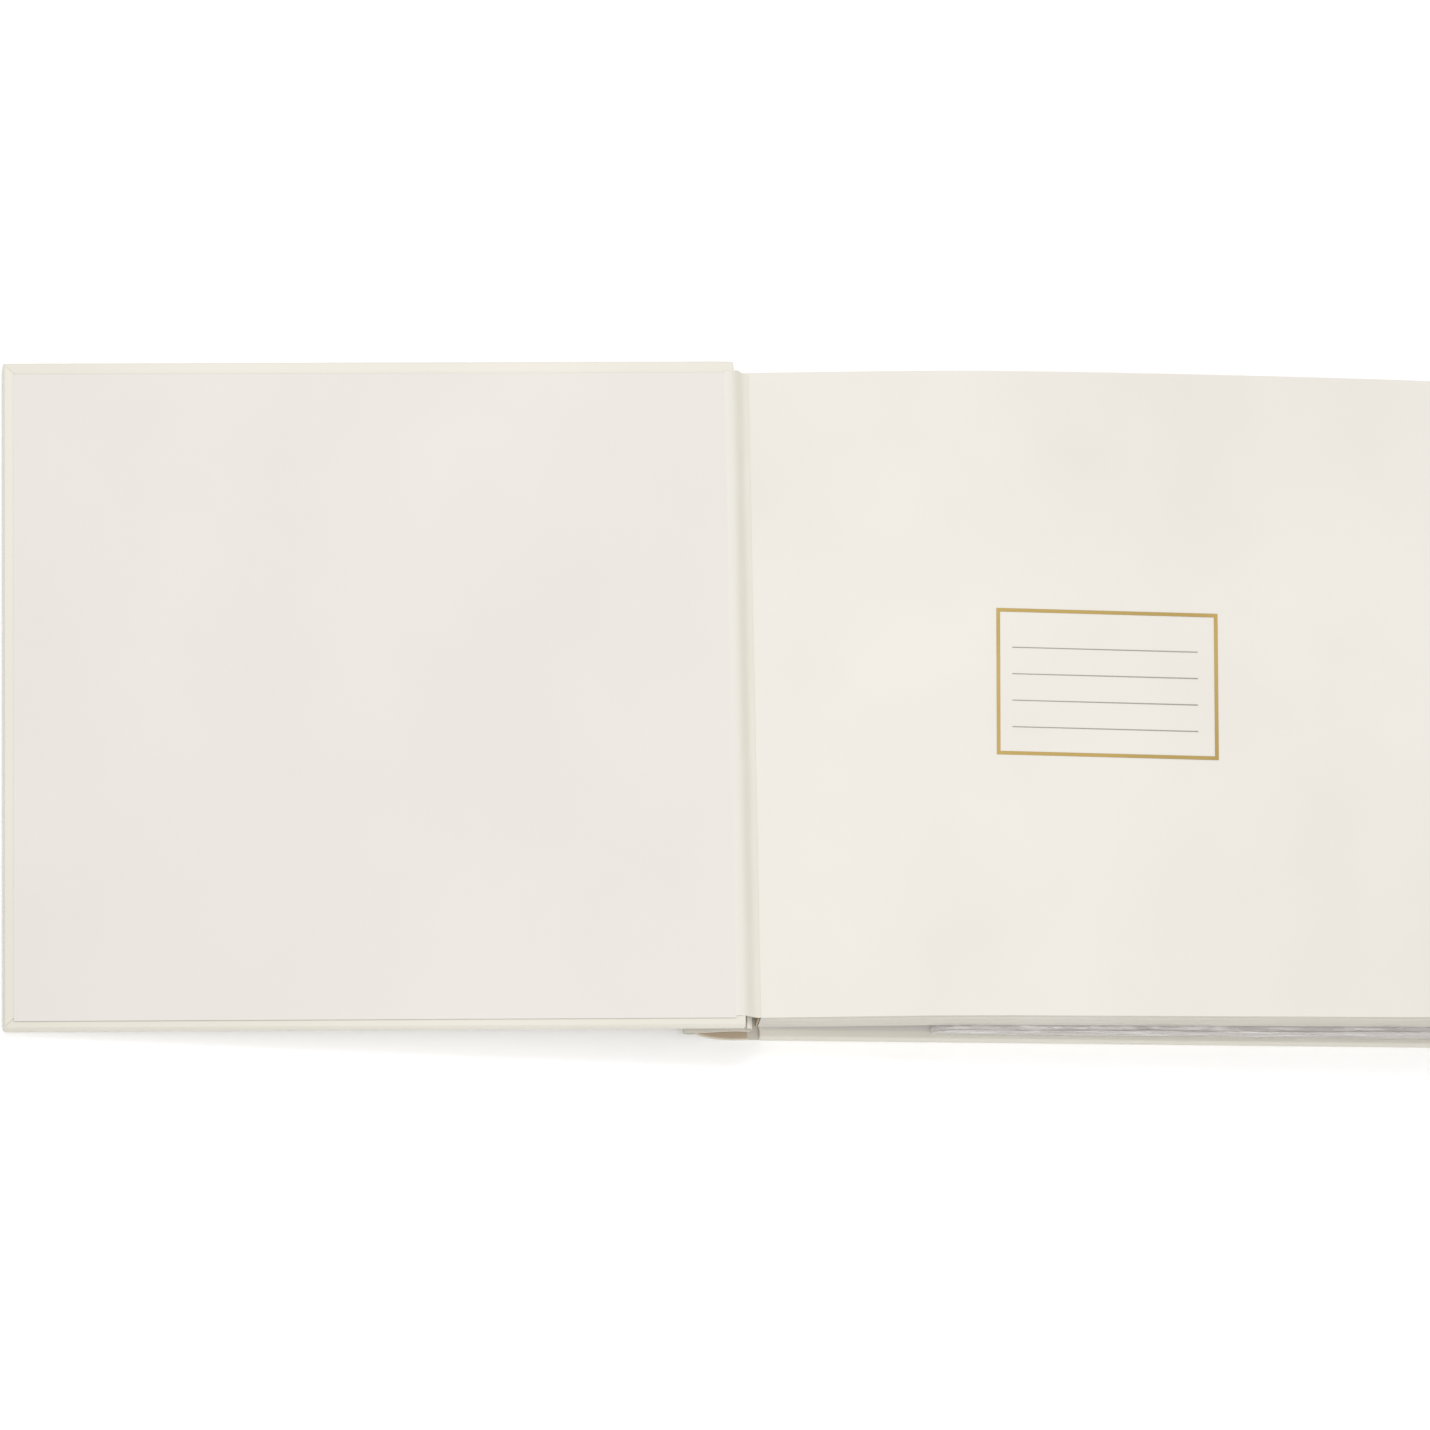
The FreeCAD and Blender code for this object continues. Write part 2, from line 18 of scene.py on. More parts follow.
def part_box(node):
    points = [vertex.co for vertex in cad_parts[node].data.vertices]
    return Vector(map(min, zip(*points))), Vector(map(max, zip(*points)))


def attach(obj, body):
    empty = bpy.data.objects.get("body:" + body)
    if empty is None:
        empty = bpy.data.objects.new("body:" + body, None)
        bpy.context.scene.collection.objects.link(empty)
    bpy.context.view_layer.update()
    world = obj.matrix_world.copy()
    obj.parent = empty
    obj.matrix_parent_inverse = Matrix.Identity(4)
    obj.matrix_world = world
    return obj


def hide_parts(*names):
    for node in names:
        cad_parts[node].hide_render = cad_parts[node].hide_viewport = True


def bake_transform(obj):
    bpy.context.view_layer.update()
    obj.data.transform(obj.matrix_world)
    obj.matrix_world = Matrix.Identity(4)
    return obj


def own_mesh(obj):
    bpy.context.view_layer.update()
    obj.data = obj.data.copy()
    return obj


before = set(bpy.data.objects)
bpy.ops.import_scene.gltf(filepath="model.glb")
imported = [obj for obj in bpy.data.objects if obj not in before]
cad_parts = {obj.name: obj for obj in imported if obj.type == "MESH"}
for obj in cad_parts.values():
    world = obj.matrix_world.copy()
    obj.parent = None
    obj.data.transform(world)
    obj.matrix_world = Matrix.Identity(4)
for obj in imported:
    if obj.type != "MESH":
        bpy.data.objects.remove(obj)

LOG = logging.getLogger("guest_book")
MM = 0.001
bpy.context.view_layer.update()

Colour = tuple[float, float, float]
Place = Callable[[float, float], Vector]


def linear(colour: Colour) -> tuple[float, float, float, float]:
    """Turn a screen colour into the light values that shaders use.

    Args:
        colour: red, green and blue from 0 to 255.

    Returns:
        The linear red, green, blue and an alpha of 1.
    """
    parts = []
    for channel in colour:
        share = channel / 255.0
        parts.append(share / 12.92 if share <= 0.04045 else ((share + 0.055) / 1.055) ** 2.4)
    return (parts[0], parts[1], parts[2], 1.0)


def ease(share: float) -> float:
    """Return a smooth 0 to 1 step for a share that may lie outside 0 to 1."""
    inside = min(max(share, 0.0), 1.0)
    return inside * inside * (3.0 - 2.0 * inside)


def box_mm(node: str) -> tuple[Vector, Vector]:
    """Return the lowest and highest corners of a CAD node in millimetres."""
    low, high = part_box(node)
    return Vector(low) / MM, Vector(high) / MM


# ---------------------------------------------------------------- finishes


class Grain(Enum):
    """How the surface of a finish is broken up."""

    SMOOTH_PAPER = "smooth paper"
    LEATHERETTE = "leatherette"
    PRESSED_BOARD = "pressed board"


class ShaderBench:
    """Adds nodes to one material and links them."""

    def __init__(self, name: str) -> None:
        """Start a material of that name with an empty surface shader."""
        self.material = bpy.data.materials.new(name)
        self.material.use_nodes = True
        self.tree = self.material.node_tree
        self.shader = self.tree.nodes["Principled BSDF"]
        self.coords = self.tree.nodes.new("ShaderNodeTexCoord")

    def link(self, source: bpy.types.NodeSocket, target: bpy.types.NodeSocket) -> None:
        """Link one socket to another."""
        self.tree.links.new(source, target)

    def mapping(self, scale: tuple[float, float, float]) -> bpy.types.NodeSocket:
        """Return object coordinates stretched by a scale on each axis."""
        node = self.tree.nodes.new("ShaderNodeMapping")
        node.inputs["Scale"].default_value = scale
        self.link(self.coords.outputs["Object"], node.inputs["Vector"])
        return node.outputs["Vector"]

    def noise(
        self, scale: tuple[float, float, float], detail: float, rough: float = 0.5
    ) -> bpy.types.NodeSocket:
        """Add a noise pattern.

        Args:
            scale: repeats per metre along each axis.
            detail: how many finer layers it has.
            rough: how strong the finer layers are.

        Returns:
            The pattern's 0 to 1 output.
        """
        node = self.tree.nodes.new("ShaderNodeTexNoise")
        node.inputs["Scale"].default_value = 1.0
        node.inputs["Detail"].default_value = detail
        node.inputs["Roughness"].default_value = rough
        self.link(self.mapping(scale), node.inputs["Vector"])
        return node.outputs["Fac"]

    def cells(self, scale: float) -> bpy.types.NodeSocket:
        """Return the distance pattern of a pebbled surface with that many cells per metre."""
        node = self.tree.nodes.new("ShaderNodeTexVoronoi")
        node.feature = "SMOOTH_F1"
        node.inputs["Scale"].default_value = 1.0
        self.link(self.mapping((scale, scale, scale)), node.inputs["Vector"])
        return node.outputs["Distance"]

    def waves(self, scale: float, axis: str) -> bpy.types.NodeSocket:
        """Return straight threads along one axis with that many repeats per metre."""
        node = self.tree.nodes.new("ShaderNodeTexWave")
        node.bands_direction = axis
        node.inputs["Scale"].default_value = scale
        node.inputs["Distortion"].default_value = 0.6
        self.link(self.coords.outputs["Object"], node.inputs["Vector"])
        return node.outputs["Fac"]

    def ramp(self, source: bpy.types.NodeSocket, low: float, high: float) -> bpy.types.NodeSocket:
        """Stretch the part of a pattern between two values to 0 to 1."""
        node = self.tree.nodes.new("ShaderNodeMapRange")
        node.inputs["From Min"].default_value = low
        node.inputs["From Max"].default_value = high
        self.link(source, node.inputs["Value"])
        return node.outputs["Result"]

    def blend_colours(
        self, share: bpy.types.NodeSocket, first: bpy.types.NodeSocket | Colour, second: Colour
    ) -> bpy.types.NodeSocket:
        """Mix a colour or a colour socket with a second colour by a 0 to 1 pattern."""
        node = self.tree.nodes.new("ShaderNodeMix")
        node.data_type = "RGBA"
        self.link(share, node.inputs[0])
        if isinstance(first, tuple):
            node.inputs[6].default_value = linear(first)
        else:
            self.link(first, node.inputs[6])
        node.inputs[7].default_value = linear(second)
        return node.outputs[2]

    def bump(
        self,
        height: bpy.types.NodeSocket,
        strength: float,
        distance: float,
        under: bpy.types.NodeSocket | None = None,
    ) -> bpy.types.NodeSocket:
        """Raise the surface by a pattern, over another bump if one is given."""
        node = self.tree.nodes.new("ShaderNodeBump")
        node.inputs["Strength"].default_value = strength
        node.inputs["Distance"].default_value = distance
        self.link(height, node.inputs["Height"])
        if under is not None:
            self.link(under, node.inputs["Normal"])
        return node.outputs["Normal"]


@dataclass(frozen=True)
class PaperFinish:
    """Uncoated paper or card: two close tones, faint fibres and a little unevenness."""

    name: str
    light: Colour
    deep: Colour
    grain: Grain = Grain.SMOOTH_PAPER
    roughness: float = 0.62
    fleck: float = 0.35
    tooth: float = 0.16

    def make(self) -> bpy.types.Material:
        """Return the material of this finish."""
        bench = ShaderBench(self.name)
        clouds = bench.ramp(bench.noise((14.0, 11.0, 30.0), 3.0), 0.30, 0.70)
        tone = bench.blend_colours(clouds, self.light, self.deep)
        fibres = bench.ramp(bench.noise((900.0, 2600.0, 2600.0), 4.0, 0.65), 0.56, 0.80)
        weaker = bench.tree.nodes.new("ShaderNodeMath")
        weaker.operation = "MULTIPLY"
        weaker.inputs[1].default_value = self.fleck
        bench.link(fibres, weaker.inputs[0])
        tone = bench.blend_colours(weaker.outputs[0], tone, self.deep)
        bench.link(tone, bench.shader.inputs["Base Color"])
        cockle = bench.bump(bench.noise((38.0, 24.0, 38.0), 2.0), 0.10, 0.0012)
        if self.grain is Grain.LEATHERETTE:
            pebble = bench.bump(bench.cells(1500.0), 0.30, 0.00006, cockle)
            normal = bench.bump(bench.noise((5200.0, 5200.0, 5200.0), 3.0), self.tooth, 0.00004, pebble)
        elif self.grain is Grain.PRESSED_BOARD:
            fibre = bench.noise((2200.0, 2200.0, 2200.0), 6.0, 0.7)
            normal = bench.bump(fibre, self.tooth * 2.5, 0.0001, cockle)
        else:
            normal = bench.bump(bench.noise((3600.0, 3600.0, 3600.0), 5.0, 0.6), self.tooth, 0.00006, cockle)
        bench.link(normal, bench.shader.inputs["Normal"])
        sheen = bench.ramp(bench.noise((700.0, 700.0, 700.0), 3.0), -1.6, 2.6)
        rough = bench.tree.nodes.new("ShaderNodeMath")
        rough.operation = "MULTIPLY_ADD"
        rough.inputs[1].default_value = 0.18
        rough.inputs[2].default_value = self.roughness - 0.09
        bench.link(sheen, rough.inputs[0])
        bench.link(rough.outputs[0], bench.shader.inputs["Roughness"])
        bench.shader.inputs["Specular IOR Level"].default_value = 0.35
        return bench.material


@dataclass(frozen=True)
class GauzeFinish:
    """Open book cloth: crossed threads over a glue-coloured ground."""

    name: str = "glued gauze"
    thread: Colour = (232, 227, 214)
    ground: Colour = (186, 172, 148)

    def make(self) -> bpy.types.Material:
        """Return the material of this finish."""
        bench = ShaderBench(self.name)
        across = bench.waves(420.0, "Y")
        along = bench.waves(420.0, "Z")
        net = bench.tree.nodes.new("ShaderNodeMath")
        net.operation = "MAXIMUM"
        bench.link(across, net.inputs[0])
        bench.link(along, net.inputs[1])
        tone = bench.blend_colours(bench.ramp(net.outputs[0], 0.45, 0.8), self.ground, self.thread)
        bench.link(tone, bench.shader.inputs["Base Color"])
        bench.link(bench.bump(net.outputs[0], 0.6, 0.0002), bench.shader.inputs["Normal"])
        bench.shader.inputs["Roughness"].default_value = 0.85
        return bench.material


@dataclass(frozen=True)
class FoilFinish:
    """Gold foil stamped into paper: metal that is uneven where the paper's tooth shows through."""

    name: str
    bright: Colour
    dull: Colour
    metal: float
    roughness: float

    def make(self) -> bpy.types.Material:
        """Return the material of this finish."""
        bench = ShaderBench(self.name)
        patch = bench.ramp(bench.noise((24.0, 24.0, 24.0), 2.0), 0.15, 0.85)
        tone = bench.blend_colours(patch, self.bright, self.dull)
        worn = bench.ramp(bench.noise((2400.0, 2400.0, 2400.0), 4.0, 0.7), 0.66, 0.78)
        tone = bench.blend_colours(worn, tone, self.dull)
        bench.link(tone, bench.shader.inputs["Base Color"])
        bench.shader.inputs["Metallic"].default_value = self.metal
        tooth = bench.noise((3000.0, 3000.0, 3000.0), 4.0, 0.6)
        bench.link(bench.bump(tooth, 0.22, 0.00005), bench.shader.inputs["Normal"])
        rough = bench.tree.nodes.new("ShaderNodeMath")
        rough.operation = "MULTIPLY_ADD"
        rough.inputs[1].default_value = 0.2
        rough.inputs[2].default_value = self.roughness - 0.1
        bench.link(tooth, rough.inputs[0])
        bench.link(rough.outputs[0], bench.shader.inputs["Roughness"])
        return bench.material


@dataclass(frozen=True)
class FilmFinish:
    """Clear glossy film with painted highlights: white streaks blended in along its creases, standing for
    glints off the crumpled film.
    """

    name: str = "clear film"
    tint: Colour = (228, 223, 222)
    # painted highlight white for the film's creases
    painted_crease_highlight: Colour = (247, 247, 247)
    clearness: float = 0.16
    edge_cover: float = 0.24
    flat_from: float = -0.096
    creased_at: float = -0.1045

    def make(self) -> bpy.types.Material:
        """Return the material of this finish."""
        bench = ShaderBench(self.name)
        split = bench.tree.nodes.new("ShaderNodeSeparateXYZ")
        bench.link(bench.coords.outputs["Object"], split.inputs[0])
        edge = bench.ramp(split.outputs["Y"], self.flat_from, self.creased_at)
        wrinkle = bench.noise((70.0, 300.0, 620.0), 4.0, 0.6)
        wave = bench.noise((26.0, 44.0, 44.0), 3.0, 0.45)
        crease = bench.tree.nodes.new("ShaderNodeMix")
        bench.link(edge, crease.inputs[0])
        bench.link(wave, crease.inputs[2])
        bench.link(wrinkle, crease.inputs[3])
        # Painted highlight: white blended in along the creases, finer near the tail edge, for the film's
        # glints.
        share = bench.ramp(crease.outputs[0], 0.50, 0.66)
        bench.link(bench.blend_colours(share, self.tint, self.painted_crease_highlight), bench.shader.inputs["Base Color"])
        cover = bench.tree.nodes.new("ShaderNodeMath")
        cover.operation = "MULTIPLY_ADD"
        cover.inputs[1].default_value = self.edge_cover
        cover.inputs[2].default_value = self.clearness
        bench.link(edge, cover.inputs[0])
        thin = bench.tree.nodes.new("ShaderNodeMath")
        thin.operation = "MULTIPLY_ADD"
        thin.inputs[1].default_value = 0.22
        bench.link(share, thin.inputs[0])
        bench.link(cover.outputs[0], thin.inputs[2])
        bench.link(thin.outputs[0], bench.shader.inputs["Alpha"])
        bench.link(bench.bump(crease.outputs[0], 0.5, 0.0008), bench.shader.inputs["Normal"])
        bench.shader.inputs["Roughness"].default_value = 0.08
        bench.shader.inputs["Specular IOR Level"].default_value = 0.8
        bench.shader.inputs["Coat Weight"].default_value = 0.6
        bench.shader.inputs["Coat Roughness"].default_value = 0.05
        return bench.material


@dataclass(frozen=True)
class GutterShadeFinish:
    """Endpaper with painted shade: it deepens to a warmer, darker tone across the gutter's valley, with
    random lighter rubbed patches.
    """

    name: str = "gutter paper"
    light: Colour = (208, 205, 199)
    # deep is the painted shade tone of the gutter's valley
    deep: Colour = (202, 199, 188)
    left: float = -0.1207
    right: float = -0.1172

    def make(self) -> bpy.types.Material:
        """Return the material of this finish."""
        bench = ShaderBench(self.name)
        split = bench.tree.nodes.new("ShaderNodeSeparateXYZ")
        bench.link(bench.coords.outputs["Object"], split.inputs[0])
        # Painted shade: light to deep across the gutter, standing for the shade in the fold's valley.
        across = bench.ramp(split.outputs["X"], self.left, self.right)
        tone = bench.blend_colours(across, self.light, self.deep)
        rubbed = bench.ramp(bench.noise((240.0, 60.0, 240.0), 4.0), 0.52, 1.10)
        tone = bench.blend_colours(rubbed, tone, self.light)
        bench.link(tone, bench.shader.inputs["Base Color"])
        grain = bench.bump(bench.noise((3600.0, 3600.0, 3600.0), 5.0, 0.6), 0.16, 0.00006)
        bench.link(grain, bench.shader.inputs["Normal"])
        bench.shader.inputs["Roughness"].default_value = 0.62
        return bench.material


class Finishes:
    """Every finish of the book, by the slot that it fills."""

    def __init__(self) -> None:
        """Make each material once."""
        self.slots: dict[str, bpy.types.Material] = {
            "greyboard": PaperFinish(
                "grey board", (186, 170, 148), (164, 147, 124), Grain.PRESSED_BOARD, 0.8
            ).make(),
            "cover_covering": PaperFinish(
                "ivory covering", (210, 206, 196), (206, 202, 191), Grain.LEATHERETTE, 0.5, 0.2
            ).make(),
            "endpaper": PaperFinish("cream endpaper", (208, 205, 199), (205, 201, 195)).make(),
            "page_paper": PaperFinish("page paper", (211, 208, 201), (206, 202, 194)).make(),
            # gutter paper with painted shade across the fold's valley
            "gutter": GutterShadeFinish().make(),
            "gauze": GauzeFinish().make(),
            "kraft": PaperFinish(
                "kraft lining", (188, 172, 148), (168, 150, 124), roughness=0.75, fleck=0.6
            ).make(),
            "gold_foil": FoilFinish("gold foil", (174, 148, 84), (148, 124, 66), 0.4, 0.45).make(),
            "printed_line": FoilFinish("writing line", (150, 145, 134), (130, 125, 114), 0.0, 0.6).make(),
            "clear_film": FilmFinish().make(),
            "card_stock": PaperFinish(
                "card stock", (222, 214, 211), (212, 204, 203), roughness=0.5, tooth=0.08
            ).make(),
        }

    def dress_cad(self) -> None:
        """Give every CAD node the finish of its slot."""
        for name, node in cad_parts.items():
            for place in node.material_slots:
                key = place.material.name.split(".")[0] if place.material else ""
                if key in self.slots:
                    place.material = self.slots[key]
            LOG.info("CAD node %s dressed", name)


# ---------------------------------------------------------------- making pieces


@dataclass(frozen=True)
class PieceCard:
    """What a finished piece is called, what it moves with and what it stands for."""

    name: str
    body: str
    slot: str
    stands_for: tuple[str, ...] = ()
    sharp_angle: float = 38.0
    finish: str = ""


class Workshop:
    """Turns shapes in millimetres into finished pieces of the book."""

    def __init__(self, finishes: Finishes) -> None:
        """Keep the finishes that pieces are dressed in."""
        self.finishes = finishes

    def finish(self, bm: bmesh.types.BMesh, card: PieceCard) -> bpy.types.Object:
        """Make an object of a shape, with its finish and its slot.

        Args:
            bm: the shape, in millimetres; it is used up.
            card: the piece's name, body, slot and the CAD nodes that it replaces.

        Returns:
            The object, which rides on nothing yet.
        """
        bmesh.ops.recalc_face_normals(bm, faces=bm.faces[:])
        bmesh.ops.scale(bm, vec=(MM, MM, MM), verts=bm.verts[:])
        mesh = bpy.data.meshes.new(card.name)
        bm.to_mesh(mesh)
        bm.free()
        mesh.shade_smooth()
        mesh.set_sharp_from_angle(angle=math.radians(card.sharp_angle))
        mesh.materials.append(self.finishes.slots[card.finish or card.slot])
        piece = bpy.data.objects.new(card.name, mesh)
        bpy.context.scene.collection.objects.link(piece)
        if card.stands_for:
            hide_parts(*card.stands_for)
        LOG.info("%s: %d faces on %s", card.name, len(mesh.polygons), card.body)
        return piece

    def ride(self, bm: bmesh.types.BMesh, card: PieceCard) -> bpy.types.Object:
        """Finish a piece that moves with one body."""
        piece = self.finish(bm, card)
        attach(piece, card.body)
        return piece


def lay_sheet(bm: bmesh.types.BMesh, cuts: tuple[int, int], place: Place, lift: Vector) -> None:
    """Lay a sheet of paper: a grid moved to its place and given its thickness.

    Args:
        bm: the shape that the sheet joins.
        cuts: how many divisions the sheet has along its two directions.
        place: gives the point of the sheet's lower face for two shares from 0 to 1.
        lift: the way from the lower face to the upper one.
    """
    made = bmesh.ops.create_grid(bm, x_segments=cuts[0], y_segments=cuts[1], size=0.5)
    faces = {face for vert in made["verts"] for face in vert.link_faces}
    for vert in made["verts"]:
        vert.co = place(vert.co.x + 0.5, vert.co.y + 0.5)
    upper = bmesh.ops.extrude_face_region(bm, geom=list(faces))
    moved = [part for part in upper["geom"] if isinstance(part, bmesh.types.BMVert)]
    bmesh.ops.translate(bm, vec=lift, verts=moved)


def slab(bm: bmesh.types.BMesh, low: Vector, high: Vector, rounding: float, steps: int = 3) -> None:
    """Add a flat block with rounded edges between two corners."""
    size = high - low
    middle = (high + low) / 2
    made = bmesh.ops.create_cube(
        bm, size=1.0, matrix=Matrix.Translation(middle) @ Matrix.Diagonal((size.x, size.y, size.z, 1.0))
    )
    edges = {edge for vert in made["verts"] for edge in vert.link_edges}
    bmesh.ops.bevel(
        bm, geom=list(edges), offset=rounding, segments=steps, profile=0.5, affect="EDGES", material=-1
    )


def through(points: list[Vector], share: float) -> Vector:
    """Return a point on the smooth curve through some points.

    Args:
        points: the points that the curve passes.
        share: how far along it, from 0 to 1.

    Returns:
        The point on the curve.
    """
    spans = len(points) - 1
    at = min(max(share, 0.0), 1.0) * spans
    first = min(int(at), spans - 1)
    t = at - first
    before = points[max(first - 1, 0)]
    start = points[first]
    end = points[first + 1]
    after = points[min(first + 2, spans)]
    return 0.5 * (
        2 * start
        + (end - before) * t
        + (2 * before - 5 * start + 4 * end - after) * t * t
        + (3 * start - before - 3 * end + after) * t * t * t
    )


@dataclass(frozen=True)
class PageCurve:
    """How the leaves lie: a short rise at the spine, then a long gentle slope over the bag below."""

    spine_edge: float = -113.0
    first_slope: float = math.tan(math.radians(4.87))
    first_run: float = 45.0
    bend_radius: float = 553.0
    bend_end: float = 79.98
    second_slope: float = math.tan(math.radians(1.24))
    head_drop: float = 6.4
    drop_run: float = 214.0
    drop_power: float = 2.8
    drop_start: float = 14.0
    head_swell: float = 0.2
    swell_run: float = 170.0

    def rise(self, run: float) -> float:
        """Return the height over the spine edge at a distance from it."""
        if run <= self.first_run:
            return run * self.first_slope
        past = min(run, self.bend_end) - self.first_run
        height = (self.first_run + past) * self.first_slope - past * past / (2 * self.bend_radius)
        return height + max(run - self.bend_end, 0.0) * self.second_slope

    def at(self, x: float, y: float) -> float:
        """Return the height over the spine edge at a place, with the head side sagging a little."""
        run = max(x - self.spine_edge, 0.0)
        head = LEAF_SPAN[1]
        swell = self.head_swell * math.sin(math.pi * min(run / self.swell_run, 1.0)) ** 2
        sag = self.head_drop * (run / self.drop_run) ** self.drop_power - swell
        return self.rise(run) - sag * ease((y - self.drop_start) / (head - self.drop_start))


LEAF_LOW, LEAF_HIGH = box_mm("rear_flyleaf")
LEAF_SPAN = (LEAF_LOW.y, LEAF_HIGH.y)
CURVE = PageCurve()


@dataclass
class HardCover:
    """One board of the cover with its paper covering, turned in on three sides, and its pastedown."""

    side: str
    body: str
    place: Matrix
    hinge_sign: float
    width: float = 225.0
    thick: float = 3.3
    paper: float = 0.08
    turn_in: float = 15.0
    sunk: float = 0.12
    edge_round: float = 0.75
    fore_square: float = 3.3
    tail_square: float = 2.6
    head_square: float = 3.9
    hinge_square: float = 0.0
    paste_top: float = 3.5
    paste_thick: float = 0.14
    paste_sink: float = 0.12
    paste_step: float = 0.10
    paste_cockle: float = 0.02
    strip_depth: float = 0.3
    strip_round: float = 0.07
    strip_start: float = 0.2
    fore_lift: float = 0.05
    mitre_lap: float = 0.5

    def __post_init__(self) -> None:
        """Take the height of the board from the CAD box."""
        low, high = box_mm(f"{self.side}_cover_wrap")
        self.height = high.y - low.y

    def strip(self, bm: bmesh.types.BMesh, corners: list[tuple[float, float]], level: float) -> None:
        """Add one turned-in strip of the covering.

        Args:
            bm: the covering.
            corners: its outline, with the fore-edge at positive x.
            level: the height of its upper face.
        """
        low = level - self.strip_depth
        verts = [bm.verts.new((-self.hinge_sign * x, y, low)) for x, y in corners]
        face = bmesh.ops.contextual_create(bm, geom=verts)["faces"]
        made = bmesh.ops.extrude_face_region(bm, geom=face)
        top = [part for part in made["geom"] if isinstance(part, bmesh.types.BMVert)]
        bmesh.ops.translate(bm, vec=(0.0, 0.0, self.strip_depth), verts=top)
        rim = [part for part in made["geom"] if isinstance(part, bmesh.types.BMEdge)]
        bmesh.ops.bevel(
            bm,
            geom=rim,
            offset=self.strip_round,
            segments=2,
            profile=0.5,
            affect="EDGES",
            material=-1,
        )

    def build_covering(self, shop: Workshop) -> bpy.types.Object:
        """Make the covering: rounded board edges and three strips that meet at mitred corners."""
        bm = bmesh.new()
        half_x = self.width / 2
        half_y = self.height / 2
        under = self.thick - self.paper - self.sunk
        slab(bm, Vector((-half_x, -half_y, 0.0)), Vector((half_x, half_y, under)), self.edge_round, 4)
        rim = self.edge_round * 0.8
        out_x = half_x - rim
        out_y = half_y - rim
        in_x = half_x - self.turn_in
        in_y = half_y - self.turn_in
        start_x = self.strip_start - half_x
        for sign in (-1.0, 1.0):
            outline = [
                (start_x, sign * out_y),
                (out_x, sign * out_y),
                (in_x, sign * in_y),
                (start_x, sign * in_y),
            ]
            self.strip(bm, outline, self.thick - self.sunk)
        fore = [
            (out_x, -out_y + self.mitre_lap),
            (out_x, out_y - self.mitre_lap),
            (in_x, in_y + self.mitre_lap),
            (in_x, -in_y - self.mitre_lap),
        ]
        self.strip(bm, fore, self.thick + self.fore_lift)
        bmesh.ops.transform(bm, matrix=self.place, verts=bm.verts[:])
        card = PieceCard(
            f"{self.side}_covering", self.body, "cover_covering", (f"{self.side}_cover_wrap",), 32.0
        )
        return shop.ride(bm, card)

    def paste_point(self, across: float, along: float) -> Vector:
        """Return a point of the pastedown's lower face for two shares of its width and height."""
        half_x = self.width / 2
        half_y = self.height / 2
        wide = self.width - self.fore_square - self.hinge_square
        tall = self.height - self.tail_square - self.head_square
        x = -half_x + self.hinge_square + across * wide
        y = -half_y + self.tail_square + along * tall
        to_edge = min(half_x - x, half_y - abs(y))
        over_strip = 1.0 - ease((to_edge - self.turn_in + 0.5) / 2.5)
        cockle = self.paste_cockle * noise.noise(Vector((x * 0.02, y * 0.017, 3.0)))
        flat = self.paste_top - self.paste_thick - self.paste_sink
        z = flat + self.paste_step * over_strip + cockle
        return Vector((-self.hinge_sign * x, y, z))

    def build_pastedown(self, shop: Workshop) -> bpy.types.Object:
        """Make the endpaper pasted inside the board; the strips below it show through as a faint step."""
        bm = bmesh.new()
        lay_sheet(bm, (90, 82), self.paste_point, Vector((0.0, 0.0, self.paste_thick)))
        bmesh.ops.transform(bm, matrix=self.place, verts=bm.verts[:])
        card = PieceCard(
            f"{self.side}_paste_sheet", self.body, "endpaper", (f"{self.side}_pastedown",), 40.0
        )
        return shop.ride(bm, card)


@dataclass
class PageBlock:
    """Seven sewn sections of thin leaves on a rear flyleaf."""

    sections: int = 7
    first_base: float = 3.88
    pitch: float = 1.28
    leaves: int = 6
    leaf_pitch: float = 0.208
    leaf_thick: float = 0.19
    leaf_width: float = 221.0
    leaf_cuts: tuple[int, int] = (36, 10)
    crowding: float = 1.25
    unevenness: float = 0.006
    fore_trim: float = 0.3
    end_trim: float = 0.22
    rear_thick: float = 0.21
    rear_gap: float = 0.02
    seed: int = 11

    def build_leaf(
        self, bm: bmesh.types.BMesh, base: float, thick: float, trim: tuple[float, float, float], wave: float
    ) -> None:
        """Add one leaf.

        Args:
            bm: the shape that it joins.
            base: the height of its underside at the spine edge.
            thick: its thickness.
            trim: how far it falls short at the fore-edge, tail and head.
            wave: a number that picks its unevenness.
        """
        low, high = LEAF_SPAN

        def place(across: float, along: float) -> Vector:
            """Return a point on the underside of the leaf."""
            x = CURVE.spine_edge + (self.leaf_width - trim[0]) * across ** self.crowding
            y = low + trim[1] + along * (high - low - trim[1] - trim[2])
            lift = self.unevenness * noise.noise(Vector((x * 0.05, y * 0.04, wave)))
            return Vector((x, y, base + CURVE.at(x, y) + lift))

        lay_sheet(bm, self.leaf_cuts, place, Vector((0.0, 0.0, thick)))

    def build(self, shop: Workshop) -> None:
        """Make the sections and the rear flyleaf."""
        chance = random.Random(self.seed)
        for number in range(self.sections):
            bm = bmesh.new()
            for leaf in range(self.leaves):
                base = self.first_base + number * self.pitch + leaf * self.leaf_pitch
                trim = (
                    chance.uniform(0.0, self.fore_trim),
                    chance.uniform(0.0, self.end_trim),
                    chance.uniform(0.0, self.end_trim),
                )
                self.build_leaf(bm, base, self.leaf_thick, trim, chance.uniform(0.0, 50.0))
            name = f"text_section_{number + 1}"
            shop.ride(bm, PieceCard(f"section_{number + 1}_leaves", "back_case", "page_paper", (name,)))
        bm = bmesh.new()
        self.build_leaf(bm, LEAF_LOW.z + self.rear_gap, self.rear_thick, (0.0, 0.0, 0.0), 71.0)
        shop.ride(bm, PieceCard("rear_flyleaf_sheet", "back_case", "endpaper", ("rear_flyleaf",)))


